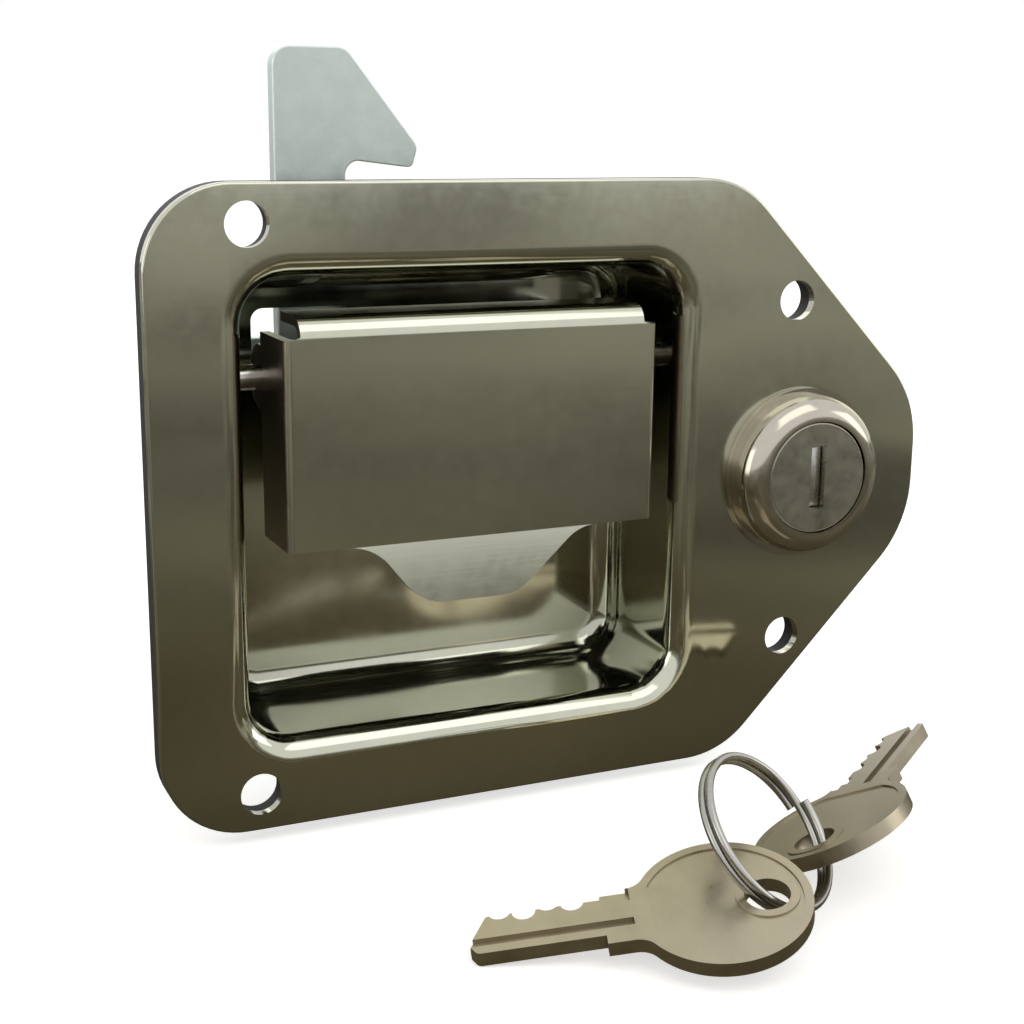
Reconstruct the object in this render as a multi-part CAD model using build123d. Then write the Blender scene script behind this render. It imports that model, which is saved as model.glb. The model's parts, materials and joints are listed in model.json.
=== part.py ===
from build123d import *
from math import atan2, cos, degrees, radians, sin, tan
import os

# Stainless paddle latch with a hook bolt, a key lock and its two keys on a split ring.
# X runs along the plate towards the lock, +Y goes through the panel and +Z is up.
# The origin is the centre of the paddle recess, in the plane of the panel's outer face.

# --- sheet and gasket -------------------------------------------------------------------
SHEET = 1.5               # stainless sheet of the faceplate and the paddle
GASKET = 3.0              # rubber gasket between faceplate and panel
RUN = 0.05                # radial clearance of pins and holes that turn
GAP = 0.3                 # clearance between pieces that move past each other
SEAT = 0.1                # thrust clearance each side of the hook bolt
EDGE = 0.4                # deburred edge of the sheet
PAST = 1.0                # how far a cut runs past the faces it goes through
TINY = 0.01               # the same place, for all that is measured

# --- faceplate --------------------------------------------------------------------------
PLATE_LEFT = 50.6         # recess centre to the left edge
PLATE_RIGHT = 83.4        # recess centre to the nose on the right
PLATE_HEIGHT = 98.0
NOSE_SIDE = 22.8          # straight side of the nose before its corners are rounded
SHOULDER = 37.0           # width that the two sloping sides take
LEFT_CORNER = 13.0
SHOULDER_CORNER = 16.0
NOSE_CORNER = 20.0
BOLT_HOLE = 6.6           # clearance hole for M6
LEFT_HOLES = (-35.4, 43.1)   # X, and Z above and below the middle
RIGHT_HOLES = (57.7, 29.0)

# --- recess -----------------------------------------------------------------------------
RECESS_WIDTH = 72.2
RECESS_HEIGHT = 70.6
RECESS_DEPTH = 24.2       # faceplate's front to the inside of the back wall
RECESS_CORNER = 7.0
RECESS_FLOOR_R = 4.0      # inside radius where walls meet the back wall
RIM_R = 3.7               # rolled edge from faceplate into the recess
WINDOW_LEFT = -28.5
WINDOW_TOP = 28.3
WINDOW_WIDTH = 17.0
WINDOW_HEIGHT = 15.5
WINDOW_CORNER = 2.0
GASKET_PLAY = 0.6         # how much wider the gasket's bolt holes are than the plate's
NUT_PLAY = 2.0            # gasket's cut-out round the lock nut, over its corners

# --- paddle -----------------------------------------------------------------------------
PADDLE_WIDTH = 61.5
PADDLE_PROUD = 1.3        # paddle's face ahead of the faceplate
PADDLE_TOP = 29.7
PADDLE_BOTTOM = -5.3
PADDLE_SIDE = 12.5        # depth of the side flanges
TOP_ROLL_R = 3.3
SIDE_ROLL_R = 2.5
TOP_FLANGE = 10.0         # depth of the paddle's top flange
TOP_BEND = 8.0            # how much of the front the top's bend takes in
TAB_DROP = 9.6            # finger tab below the paddle's bottom edge
TAB_HALF = 17.5           # where the curved shoulders of the tab begin
TAB_TIP_HALF = 8.0
TAB_SHIFT = -2.0          # the tab's tip lies off centre
TAB_LEAN = 9.0            # degrees that the tab is bent outwards
TAB_SHOULDER_R = 8.0
TAB_TIP_R = 8.0
PIN_DIAMETER = 4.0
PIN_Z = 19.4
PIN_DEPTH = 12.0          # pin's axis behind the faceplate's front
EAR_R = 5.0
PADDLE_TRAVEL = 28.0      # degrees

# --- hook bolt --------------------------------------------------------------------------
HOOK_SHEET = 2.5
HOOK_LEFT = -23.3
HOOK_TOP = 68.6
HOOK_CREST = 12.0         # flat top before the slant
HOOK_NECK = 11.8          # width of the neck
NOSE_REACH = 12.4         # nose tip beyond the neck
NOSE_HEIGHT = 51.3        # Z of the nose's tip
NOSE_SLOPE = 1.6          # the nose's underside rises by this towards the neck
NECK_FOOT = 34.0          # the neck widens below this
HOOK_RIGHT = 3.0          # right side behind the recess
WING_LEFT = -30.3         # guard over the window's left part
WING_LOW = 13.0
WING_TOP = 23.3
HOOK_UNDER = 10.0         # plate below and beside the pivot
PIVOT_X = -12.0
PIVOT_Z = -12.0
PIVOT_DIAMETER = 8.0
HOOK_RATIO = 0.5          # hook's turn for each degree of the paddle
GUIDE_DISTANCE = 15.0     # guide stud above the pivot
GUIDE_DIAMETER = 5.0
TAIL_WIDTH = 8.5
TAIL_END = 46.0
SPACER = 1.0              # washer between recess and hook bolt
SPACER_DIAMETER = 16.0
CAP_DIAMETER = 14.0
CAP_WASHER = 0.8
RIVET_NECK = 2.5          # the stud's riveted neck is thinner by this
STUD_HEAD = 1.4
PIVOT_HEAD = 9.5          # diameters of the two heads
GUIDE_HEAD = 10.0

# --- release arm ------------------------------------------------------------------------
ARM_X = -15.5             # middle of the arm's web
ARM_SHEET = 2.5
ARM_HEIGHT = 5.0
ARM_RISE = 4.0            # the arm's middle above the pin
ARM_PAST_HOOK = 2.0       # arm's end behind the hook bolt
FOOT_SHEET = 2.0          # foot welded to the paddle's inside
FOOT_WIDTH = 16.0
FOOT_DROP = 8.0           # foot's lower edge below the pin

# --- hinge pin and its clip -------------------------------------------------------------
PIN_TAIL = 3.2            # pin's end outside the recess
PIN_HEAD = 1.5
PIN_HEAD_STEP = 1.6       # the head stands out by this all round
CLIP_SHEET = 0.8
CLIP_STEP = 2.0           # the clip stands out by this all round
CLIP_OUT = 0.2            # groove's near side outside the recess
GROOVE = 1.0
GROOVE_DEPTH = 0.5

# --- springs ----------------------------------------------------------------------------
PADDLE_WIRE = 1.2
PADDLE_SPRING_X = 4.0
PADDLE_COILS = 6
PADDLE_BORE = 0.4         # the winding clears the pin by this
PADDLE_LEG = 12.0         # ends of the legs below the pin
WOUND = 1.06              # pitch of a close winding over its wire
HOOK_WIRE = 0.9
HOOK_COIL_R = 2.0         # mean radius
SPRING_X = 28.0
SPRING_BEHIND = 2.9       # spring's axis behind the hook bolt
POST_DIAMETER = 3.0
POST_HEAD = 1.0           # the head stands out by this all round
POST_Z = -28.0

# --- lock -------------------------------------------------------------------------------
LOCK_X = 59.5
COLLAR_DIAMETER = 28.7
COLLAR_BASE = 1.0
COLLAR_PROUD = 6.0
COLLAR_STEP = 0.9         # the dome stands in from its base by this much
DOME_R = 3.6
BODY_DIAMETER = 21.0
BODY_FLAT = 18.0          # across the two flats
BODY_LENGTH = 29.2        # behind the faceplate's front
PLUG_FACE = 18.8
PLUG_HEAD = 3.0
PLUG_SUNK = 0.2           # plug's face behind the dome's front
PLUG_CORE = 13.0
KEYWAY_HEIGHT = 10.6
KEYWAY_WIDTH = 2.8
KEYWAY_DEPTH = 27.0
KEYWAY_CORNER = 0.6
WARD_REACH = 0.38         # share of the keyway's width that a ward takes
WARD_HEIGHT = 1.6
WAFER = 1.0
WAFER_WIDTH = 7.2
WAFER_PITCH = 3.0
WAFERS = 5
WAFER_PLAY = 0.1          # slot over wafer, in width and in thickness
WAFER_LIFT = 0.5          # step between the windows' heights
FIRST_WAFER = 3.0         # behind the plug's head
NUT_FLATS = 27.0
NUT_HEIGHT = 4.0
LOCK_WASHER = 0.8
WASHER_RING = 2.5         # width of the toothed washer's ring
WASHER_TEETH = 16
TOOTH_GAP = (1.6, 1.4)
CAM_SHEET = 2.0
CAM_REACH = 22.0
CAM_WIDTH = 10.0
CAM_EYE = 13.0            # diameter round the square hole
CAM_SQUARE = 7.0
CAM_CLEAR = 0.7           # cam behind the lock body
SCREW_DIAMETER = 4.0
SCREW_HEAD = 8.0
SCREW_HEAD_HEIGHT = 2.6
SCREW_LENGTH = 7.0        # in the plug
CROSS_SLOT = (5.0, 1.0, 1.4)   # length, width and depth of each slot of the cross

# --- keys and ring ----------------------------------------------------------------------
KEY_SHEET = 2.2
KEY_HEAD = 24.0           # diameter
KEY_HOLE = 6.2
KEY_HOLE_IN = 6.0         # hole's centre off the head's centre, away from the blade
KEY_RIM = 1.2             # raised rim round the head and the hole
KEY_RELIEF = 0.25
KEY_THROAT = 3.0          # radius where head and neck meet
NOTCH_DEPTH = 2.4         # stepped notch at the neck's edge
NOTCH_LENGTH = 4.0
NOTCH_STEP = 1.6
KEY_TIP = 40.4            # hole's centre to the tip
BLADE_LENGTH = 18.2
BLADE_WIDTH = 7.0
BLADE_GROOVE = 0.7
GROOVE_WIDTH = 1.4
TIP_SLANT = 2.6           # tip's bevel
CUT_R = 1.6               # radius at the bottom of a cut
CUTS_FROM_STEP = 2.2
CUTS_FROM_TIP = 2.8
KEY_NECK = 10.2
BITTING = (1.2, 0.5, 1.6, 0.9)   # depth of each cut in the blade's edge
RING_R = 11.7             # mean radius of the split ring
RING_WIRE = 1.2
# hole's centre, heading of the blade, pitch of the tip downwards, lean about the blade
FRONT_KEY = ((16.95, -64.76, -43.49), 158.8, 7.9, -13.9)
REAR_KEY = ((32.36, -53.76, -43.01), 34.5, -6.2, -26.9)
RING_CENTRE = (22.1, -55.8, -38.4)
RING_HEADING = 34.3       # degrees that the ring is turned about the upright
RING_LEAN = -139.9        # degrees that its axis points upwards

# --- places that follow from the sizes --------------------------------------------------
FRONT = -(GASKET + SHEET)             # front of the faceplate
PLATE_BACK = FRONT + SHEET
WALL_BACK = FRONT + RECESS_DEPTH + SHEET
HALF_W = RECESS_WIDTH / 2
HALF_H = RECESS_HEIGHT / 2
PADDLE_FRONT = FRONT - PADDLE_PROUD
PIN_Y = FRONT + PIN_DEPTH
PIN_R = PIN_DIAMETER / 2
HOOK_FRONT = WALL_BACK + SPACER + SEAT
HOOK_BACK = HOOK_FRONT + HOOK_SHEET
HOOK_MIDDLE = (HOOK_FRONT + HOOK_BACK) / 2
CAP_FRONT = HOOK_BACK + SEAT
SPRING_Y = HOOK_BACK + SPRING_BEHIND
BODY_BACK = FRONT + BODY_LENGTH
CAM_FRONT = BODY_BACK + CAM_CLEAR
CAM_BACK = CAM_FRONT + CAM_SHEET
COLLAR_FRONT = FRONT - COLLAR_PROUD
ARM_END = HOOK_BACK + ARM_PAST_HOOK
ARM_Z = PIN_Z + ARM_RISE
HOOK_TRAVEL = PADDLE_TRAVEL * HOOK_RATIO

os.makedirs("parts", exist_ok=True)


def facing(y):
    """Sketch plane parallel to the faceplate at depth y: sketch x is X and sketch y is Z."""
    return Plane(origin=(0, y, 0), x_dir=(1, 0, 0), z_dir=(0, -1, 0))


def slab(outline, front, back):
    """Solid of a flat outline between two depths."""
    return extrude(facing(back) * outline, amount=back - front)


def round_bar(diameter, front, back, x=0, z=0):
    """Cylinder along Y between two depths."""
    return slab(Pos(x, z) * Circle(diameter / 2), front, back)


def cross_bar(radius, left, right, y, z):
    """Cylinder along X."""
    middle = ((left + right) / 2, y, z)
    return Pos(*middle) * Rot(0, 90, 0) * Cylinder(radius, right - left)


def polygon(*corners):
    """Face from points (x, z) or (x, z, corner radius)."""
    face = make_face(Polyline(*[(c[0], c[1]) for c in corners], close=True))
    for c in corners:
        if len(c) == 3:
            corner = face.vertices().sort_by_distance((c[0], c[1], 0))[0]
            face = fillet(corner, c[2])
    return face


def hole(diameter, x, z):
    return Pos(x, z) * Circle(diameter / 2)


def save(name, solid, colour):
    solid.label = name
    solid.color = Color(*colour)
    export_step(solid, f"parts/{name}.step")
    print(name, round(solid.volume))


STEEL = (0.62, 0.61, 0.55)
ZINC = (0.66, 0.72, 0.72)
BLACK = (0.05, 0.05, 0.05)
CHROME = (0.75, 0.73, 0.68)
BRASS = (0.8, 0.65, 0.3)


# --- faceplate and recess ---------------------------------------------------------------
def plate_outline():
    """House lying on its side: two rounded corners on the left, a blunt nose on the right."""
    top = PLATE_HEIGHT / 2
    side = NOSE_SIDE / 2
    turn = PLATE_RIGHT - SHOULDER
    return polygon(
        (-PLATE_LEFT, -top, LEFT_CORNER),
        (turn, -top, SHOULDER_CORNER),
        (PLATE_RIGHT, -side, NOSE_CORNER),
        (PLATE_RIGHT, side, NOSE_CORNER),
        (turn, top, SHOULDER_CORNER),
        (-PLATE_LEFT, top, LEFT_CORNER),
    )


def bolt_holes(diameter):
    """Outlines of the four mounting holes."""
    pairs = [(x, side * z) for x, z in (LEFT_HOLES, RIGHT_HOLES) for side in (-1, 1)]
    return [hole(diameter, x, z) for x, z in pairs]


def lock_hole(clearance):
    """Double-D hole that keeps the lock body from turning."""
    size = BODY_DIAMETER + 2 * clearance
    band = Rectangle(size, BODY_FLAT + 2 * clearance)
    return Pos(LOCK_X, 0) * (Circle(size / 2) & band)


def window():
    x = WINDOW_LEFT + WINDOW_WIDTH / 2
    z = WINDOW_TOP - WINDOW_HEIGHT / 2
    return Pos(x, z) * RectangleRounded(WINDOW_WIDTH, WINDOW_HEIGHT, WINDOW_CORNER)


def flat_edges(body, y, reach):
    """Edges that lie flat at depth y, within reach of the recess's walls."""
    found = []
    for e in body.edges():
        box = e.bounding_box()
        flat = abs(box.min.Y - y) < TINY and abs(box.max.Y - y) < TINY
        centre = e.center()
        if flat and abs(centre.X) < HALF_W + reach and abs(centre.Z) < HALF_H + reach:
            found.append(e)
    return found


def make_faceplate():
    """Faceplate and recess, drawn in one piece from sheet."""
    plate = slab(plate_outline(), FRONT, PLATE_BACK)
    plate = fillet(plate.faces().sort_by(Axis.Y)[0].edges(), EDGE)
    shell = RectangleRounded(
        RECESS_WIDTH + 2 * SHEET, RECESS_HEIGHT + 2 * SHEET, RECESS_CORNER + SHEET
    )
    outside = slab(shell, FRONT + SHEET / 2, WALL_BACK)
    outside = fillet(outside.faces().sort_by(Axis.Y)[-1].edges(), RECESS_FLOOR_R + SHEET)
    hollow = RectangleRounded(RECESS_WIDTH, RECESS_HEIGHT, RECESS_CORNER)
    inside = slab(hollow, FRONT - PAST, WALL_BACK - SHEET)
    inside = fillet(inside.faces().sort_by(Axis.Y)[-1].edges(), RECESS_FLOOR_R)
    body = plate + outside
    body = fillet(flat_edges(body, PLATE_BACK, 2 * SHEET), RIM_R - SHEET)
    body = body - inside
    body = fillet(flat_edges(body, FRONT, TINY), RIM_R)
    for outline in bolt_holes(BOLT_HOLE):
        body -= slab(outline, FRONT - PAST, PLATE_BACK + PAST)
    body -= slab(lock_hole(RUN), FRONT - PAST, PLATE_BACK + PAST)
    body -= slab(window(), WALL_BACK - SHEET - PAST, WALL_BACK + PAST)
    through = HALF_W + SHEET + PAST
    return body - cross_bar(PIN_R + RUN, -through, through, PIN_Y, PIN_Z)


def make_gasket():
    """Flat gasket with the plate's outline, cut out for the recess, lock nut and bolts."""
    room = RIM_R - SHEET + GAP
    opening = RectangleRounded(
        RECESS_WIDTH + 2 * (SHEET + room),
        RECESS_HEIGHT + 2 * (SHEET + room),
        RECESS_CORNER + SHEET + room,
    )
    nut_room = hole(NUT_FLATS / cos(radians(30)) + NUT_PLAY, LOCK_X, 0)
    outline = plate_outline() - opening - nut_room
    for cut in bolt_holes(BOLT_HOLE + GASKET_PLAY):
        outline -= cut
    return slab(outline, PLATE_BACK, PLATE_BACK + GASKET)


# --- paddle -----------------------------------------------------------------------------
def paddle_outline():
    """Front of the paddle: straight sides, and a bottom edge that swells into a finger tab."""
    half = PADDLE_WIDTH / 2
    tip = PADDLE_BOTTOM - TAB_DROP
    return polygon(
        (-half, PADDLE_TOP - TOP_ROLL_R),
        (-half, PADDLE_BOTTOM),
        (-TAB_HALF, PADDLE_BOTTOM, TAB_SHOULDER_R),
        (TAB_SHIFT - TAB_TIP_HALF, tip, TAB_TIP_R),
        (TAB_SHIFT + TAB_TIP_HALF, tip, TAB_TIP_R),
        (TAB_HALF, PADDLE_BOTTOM, TAB_SHOULDER_R),
        (half, PADDLE_BOTTOM),
        (half, PADDLE_TOP - TOP_ROLL_R),
    )


def rolled_sheet(width, depth, bottom, top):
    """U channel open at the back, its two front corners rolled."""
    tall = top - bottom
    middle = Pos(0, PADDLE_FRONT + depth / 2, (top + bottom) / 2)
    outside = middle * Box(width, depth, tall)
    corners = outside.edges().filter_by(Axis.Z).group_by(Axis.Y)[0]
    outside = fillet(corners, SIDE_ROLL_R)
    inner = Pos(0, SHEET, 0) * middle * Box(width - 2 * SHEET, depth, tall + PAST)
    corners = inner.edges().filter_by(Axis.Z).group_by(Axis.Y)[0]
    return outside - fillet(corners, SIDE_ROLL_R - SHEET)


def top_bend(width, radius):
    """Block under the paddle's top, its upper front edge rounded along X."""
    middle = Pos(0, PADDLE_FRONT + TOP_FLANGE / 2, PADDLE_TOP - TOP_BEND / 2)
    block = middle * Box(width, TOP_FLANGE, TOP_BEND)
    edge = block.edges().filter_by(Axis.X).group_by(Axis.Y)[0].sort_by(Axis.Z)[-1]
    return fillet(edge, radius)


def finger_tab():
    """Tab below the paddle's front, leaning outwards from a sharp crease."""
    half = PADDLE_WIDTH / 2 - SIDE_ROLL_R
    lean = radians(TAB_LEAN)
    front, back = PADDLE_FRONT, PADDLE_FRONT + SHEET
    overlap, drop = PADDLE_BOTTOM + SHEET, TAB_DROP + PAST
    tip = PADDLE_BOTTOM - drop
    side = Plane(origin=(-half, 0, 0), x_dir=(0, 1, 0), z_dir=(1, 0, 0))
    sheet = polygon(
        (front, overlap),
        (front, PADDLE_BOTTOM),
        (front - drop * tan(lean), tip),
        (front - drop * tan(lean) + SHEET / cos(lean), tip),
        (back, PADDLE_BOTTOM - SHEET * tan(lean / 2)),
        (back, overlap),
    )
    bent = extrude(side * sheet, amount=2 * half)
    return bent & slab(paddle_outline(), front - TAB_DROP, back + PAST)


def make_paddle():
    """Paddle bent from one sheet: front, two side flanges with ears, and a rolled top."""
    half = PADDLE_WIDTH / 2
    shoulder = PADDLE_TOP - TOP_ROLL_R
    channel = rolled_sheet(PADDLE_WIDTH, PADDLE_SIDE, PADDLE_BOTTOM, shoulder)
    body = channel + finger_tab()
    # the top flange stops short of the side flanges by their roll at each end
    bend = 2 * (half - SIDE_ROLL_R)
    body += top_bend(bend, TOP_ROLL_R) - Pos(0, SHEET, -SHEET) * top_bend(
        bend + PAST, TOP_ROLL_R - SHEET
    )
    for left in (-half, half - SHEET):
        body += cross_bar(EAR_R, left, left + SHEET, PIN_Y, PIN_Z)
    return body - cross_bar(PIN_R + RUN, -half - PAST, half + PAST, PIN_Y, PIN_Z)


def make_release_arm():
    """Lever welded inside the paddle, turning on the hinge pin, with its end in the hook bolt."""
    inside = PADDLE_FRONT + SHEET
    left = ARM_X - ARM_SHEET / 2
    low, high = ARM_Z - ARM_HEIGHT / 2, ARM_Z + ARM_HEIGHT / 2
    bottom = PIN_Z - FOOT_DROP
    side = Plane(origin=(left, 0, 0), x_dir=(0, 1, 0), z_dir=(1, 0, 0))
    web = polygon(
        (inside, bottom),
        (inside + FOOT_SHEET + 1, bottom),
        (PIN_Y + PIN_R, PIN_Z - EAR_R, 3),
        (PIN_Y + EAR_R + 3, low, 3),
        (ARM_END, low, 1),
        (ARM_END, high, 1),
        (PIN_Y - PIN_R, high, 3),
        (inside, high),
    )
    web = web - Pos(PIN_Y, PIN_Z) * Circle(PIN_R + RUN)
    arm = extrude(side * web, amount=ARM_SHEET)
    middle = Pos(left + FOOT_WIDTH / 2, inside + FOOT_SHEET / 2, (bottom + high) / 2)
    return arm + middle * Box(FOOT_WIDTH, FOOT_SHEET, high - bottom)


def make_hinge_pin():
    """Plain pin through the recess walls and the paddle's ears, headed at the right."""
    wall = HALF_W + SHEET
    groove = -wall - CLIP_OUT
    pin = cross_bar(PIN_R, -wall - PIN_TAIL, wall, PIN_Y, PIN_Z)
    ring = cross_bar(PIN_R + PAST, groove - GROOVE, groove, PIN_Y, PIN_Z)
    ring -= cross_bar(PIN_R - GROOVE_DEPTH, groove - GROOVE, groove, PIN_Y, PIN_Z)
    head = cross_bar(PIN_R + PIN_HEAD_STEP, wall, wall + PIN_HEAD, PIN_Y, PIN_Z)
    return pin - ring + fillet(head.edges().sort_by(Axis.X)[-1], PIN_HEAD / 2)


def make_pin_clip():
    """Spring clip in the groove of the hinge pin, outside the recess."""
    right = -(HALF_W + SHEET) - CLIP_OUT - (GROOVE - CLIP_SHEET) / 2
    left = right - CLIP_SHEET
    clip = cross_bar(PIN_R + CLIP_STEP, left, right, PIN_Y, PIN_Z)
    clip -= cross_bar(PIN_R - GROOVE_DEPTH, left - PAST, right + PAST, PIN_Y, PIN_Z)
    mouth = Box(4 * CLIP_SHEET, 2 * PIN_R + CLIP_STEP, 2 * (PIN_R - GROOVE_DEPTH))
    return clip - Pos(left, PIN_Y + PIN_R + CLIP_STEP / 2, PIN_Z) * mouth


def coil(radius, wire, turns, pitch):
    """Close coil of round wire about +Z, starting at the origin's height."""
    path = Helix(pitch=pitch, height=pitch * turns, radius=radius)
    section = Plane(origin=path @ 0, z_dir=path % 0) * Circle(wire / 2)
    return sweep(section, path=path, is_frenet=True)


def rod(start, end, diameter):
    """Straight wire between two points."""
    path = Line(start, end)
    return sweep(Plane(origin=start, z_dir=path % 0) * Circle(diameter / 2), path=path)


def make_paddle_spring():
    """Torsion spring round the hinge pin, pressing the paddle shut against the back wall."""
    radius = PIN_R + PADDLE_BORE + PADDLE_WIRE / 2
    pitch = PADDLE_WIRE * WOUND
    length = pitch * PADDLE_COILS
    winding = Pos(PADDLE_SPRING_X, PIN_Y, PIN_Z) * Rot(0, 90, 0) * coil(
        radius, PADDLE_WIRE, PADDLE_COILS, pitch
    )
    # both legs leave the winding below the pin: one to the paddle, one to the back wall
    low = PIN_Z - radius
    paddle_face = PADDLE_FRONT + SHEET + PADDLE_WIRE / 2
    wall_face = WALL_BACK - SHEET - PADDLE_WIRE / 2 - GAP
    first = (PADDLE_SPRING_X, PIN_Y, low)
    last = (PADDLE_SPRING_X + length, PIN_Y, low)
    foot = PIN_Z - PADDLE_LEG
    legs = rod(first, (PADDLE_SPRING_X, paddle_face, foot), PADDLE_WIRE)
    legs += rod(last, (PADDLE_SPRING_X + length, wall_face, foot), PADDLE_WIRE)
    return winding + legs


# --- hook bolt --------------------------------------------------------------------------
def about_pivot(x, z, turn):
    """Where a point of the world lies in the hook bolt's own frame after it has turned."""
    dx, dz = x - PIVOT_X, z - PIVOT_Z
    c, s = cos(radians(turn)), sin(radians(turn))
    return PIVOT_X + dx * c + dz * s, PIVOT_Z - dx * s + dz * c


def arm_at_hook(travel):
    """Height of the release arm's middle where it crosses the hook bolt."""
    reach = HOOK_MIDDLE - PIN_Y
    c, s = cos(radians(travel)), sin(radians(travel))
    return PIN_Z + ARM_RISE * c - reach * s


def slot_between(start, end, width):
    """Round-ended slot whose end radii are centred on two points."""
    run, rise = end[0] - start[0], end[1] - start[1]
    middle = Pos((start[0] + end[0]) / 2, (start[1] + end[1]) / 2)
    length = (run**2 + rise**2) ** 0.5 + width
    return middle * Rot(0, 0, degrees(atan2(rise, run))) * SlotOverall(length, width)


def arm_slot():
    """Slanted slot that the arm moves down in, so that it pushes the hook bolt to the left."""
    start = about_pivot(ARM_X, arm_at_hook(0), 0)
    end = about_pivot(ARM_X, arm_at_hook(PADDLE_TRAVEL), HOOK_TRAVEL)
    # the arm is tallest in the hook bolt's thickness when it is tilted furthest
    tilt = radians(PADDLE_TRAVEL)
    tall = (ARM_HEIGHT + HOOK_SHEET * sin(tilt)) / cos(tilt)
    return slot_between(start, end, (ARM_SHEET**2 + tall**2) ** 0.5 + 2 * GAP)


def guide_slot():
    """Short slot that lets the guide stud pass as the hook bolt swings."""
    stud = (PIVOT_X, PIVOT_Z + GUIDE_DISTANCE)
    start, end = (about_pivot(*stud, turn) for turn in (0, HOOK_TRAVEL))
    return slot_between(start, end, GUIDE_DIAMETER + 2 * GAP)


def make_hook_bolt():
    """Stamped hook: nose and slant above, pivot and arm slot behind the recess, tail to the lock."""
    neck = HOOK_LEFT + HOOK_NECK
    nose = neck + NOSE_REACH
    low = PIVOT_Z - TAIL_WIDTH / 2
    high = low + TAIL_WIDTH
    under = PIVOT_Z - HOOK_UNDER
    outline = polygon(
        (HOOK_LEFT, HOOK_TOP, 3),
        (HOOK_LEFT + HOOK_CREST, HOOK_TOP, 3),
        (nose, NOSE_HEIGHT + 2, 1.6),
        (nose - 1, NOSE_HEIGHT - NOSE_SLOPE + 0.2, 1),
        (neck, NOSE_HEIGHT, 2.2),
        (neck, NECK_FOOT, 8),
        (HOOK_RIGHT, PIN_Z, 6),
        (HOOK_RIGHT, high + TAIL_WIDTH, 6),
        (HOOK_RIGHT + TAIL_WIDTH, high, 8),
        (TAIL_END, high, 3),
        (TAIL_END, low, 3),
        (HOOK_RIGHT + 5, low, 6),
        (HOOK_RIGHT, under, 6),
        (PIVOT_X - HOOK_UNDER, under, 8),
        (HOOK_LEFT, WING_LOW - 7, 4),
        (WING_LEFT, WING_LOW, 3),
        (WING_LEFT, WING_TOP, 2),
        (HOOK_LEFT, WING_TOP),
    )
    outline -= hole(PIVOT_DIAMETER + 2 * RUN, PIVOT_X, PIVOT_Z)
    outline -= arm_slot()
    outline -= guide_slot()
    outline -= hole(POST_DIAMETER, SPRING_X, PIVOT_Z)
    body = slab(outline, HOOK_FRONT, HOOK_BACK)
    return chamfer(body.faces().sort_by(Axis.Y)[0].outer_wire().edges(), EDGE / 2)


def stud_head(diameter, front, x, z):
    """Round head, softened at the back."""
    head = round_bar(diameter, front, front + STUD_HEAD, x, z)
    return fillet(head.faces().sort_by(Axis.Y)[-1].edges(), STUD_HEAD * 0.6)


def make_pivot_stud():
    """Shoulder stud welded to the recess and riveted over the cap washer."""
    shoulder = round_bar(PIVOT_DIAMETER, WALL_BACK, CAP_FRONT, PIVOT_X, PIVOT_Z)
    cap_back = CAP_FRONT + CAP_WASHER
    neck = round_bar(PIVOT_DIAMETER - RIVET_NECK, CAP_FRONT, cap_back, PIVOT_X, PIVOT_Z)
    return shoulder + neck + stud_head(PIVOT_HEAD, cap_back, PIVOT_X, PIVOT_Z)


def washer(outer, inner, front, thick, x, z):
    return slab(hole(outer, x, z) - hole(inner, x, z), front, front + thick)


def make_pivot_spacer():
    """Washer on the pivot stud between the recess and the hook bolt."""
    return washer(SPACER_DIAMETER, PIVOT_DIAMETER, WALL_BACK, SPACER, PIVOT_X, PIVOT_Z)


def make_pivot_washer():
    """Washer under the pivot stud's riveted head."""
    inner = PIVOT_DIAMETER - RIVET_NECK
    return washer(CAP_DIAMETER, inner, CAP_FRONT, CAP_WASHER, PIVOT_X, PIVOT_Z)


def make_guide_stud():
    """Headed stud that holds the hook bolt flat and stops its swing at both ends."""
    z = PIVOT_Z + GUIDE_DISTANCE
    shank = round_bar(GUIDE_DIAMETER, WALL_BACK, CAP_FRONT, PIVOT_X, z)
    return shank + stud_head(GUIDE_HEAD, CAP_FRONT, PIVOT_X, z)


def spring_peg(z, front, shoulder):
    """Peg along Y with a shoulder and a head that keep the spring's loop in place."""
    room = HOOK_WIRE / 2 + GAP
    wide = POST_DIAMETER + 2 * POST_HEAD
    neck = round_bar(POST_DIAMETER, front, SPRING_Y + room, SPRING_X, z)
    head = round_bar(wide, SPRING_Y + room, SPRING_Y + room + POST_HEAD, SPRING_X, z)
    head = fillet(head.faces().sort_by(Axis.Y)[-1].edges(), EDGE)
    return neck + head + round_bar(wide, shoulder, SPRING_Y - room, SPRING_X, z)


def make_spring_post():
    """Peg welded to the back of the recess that holds the lower end of the hook spring."""
    return spring_peg(POST_Z, WALL_BACK, WALL_BACK)


def make_tail_peg():
    """Peg riveted through the hook bolt's tail that the upper end of the spring pulls on."""
    return spring_peg(PIVOT_Z, HOOK_FRONT, HOOK_BACK)


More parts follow.
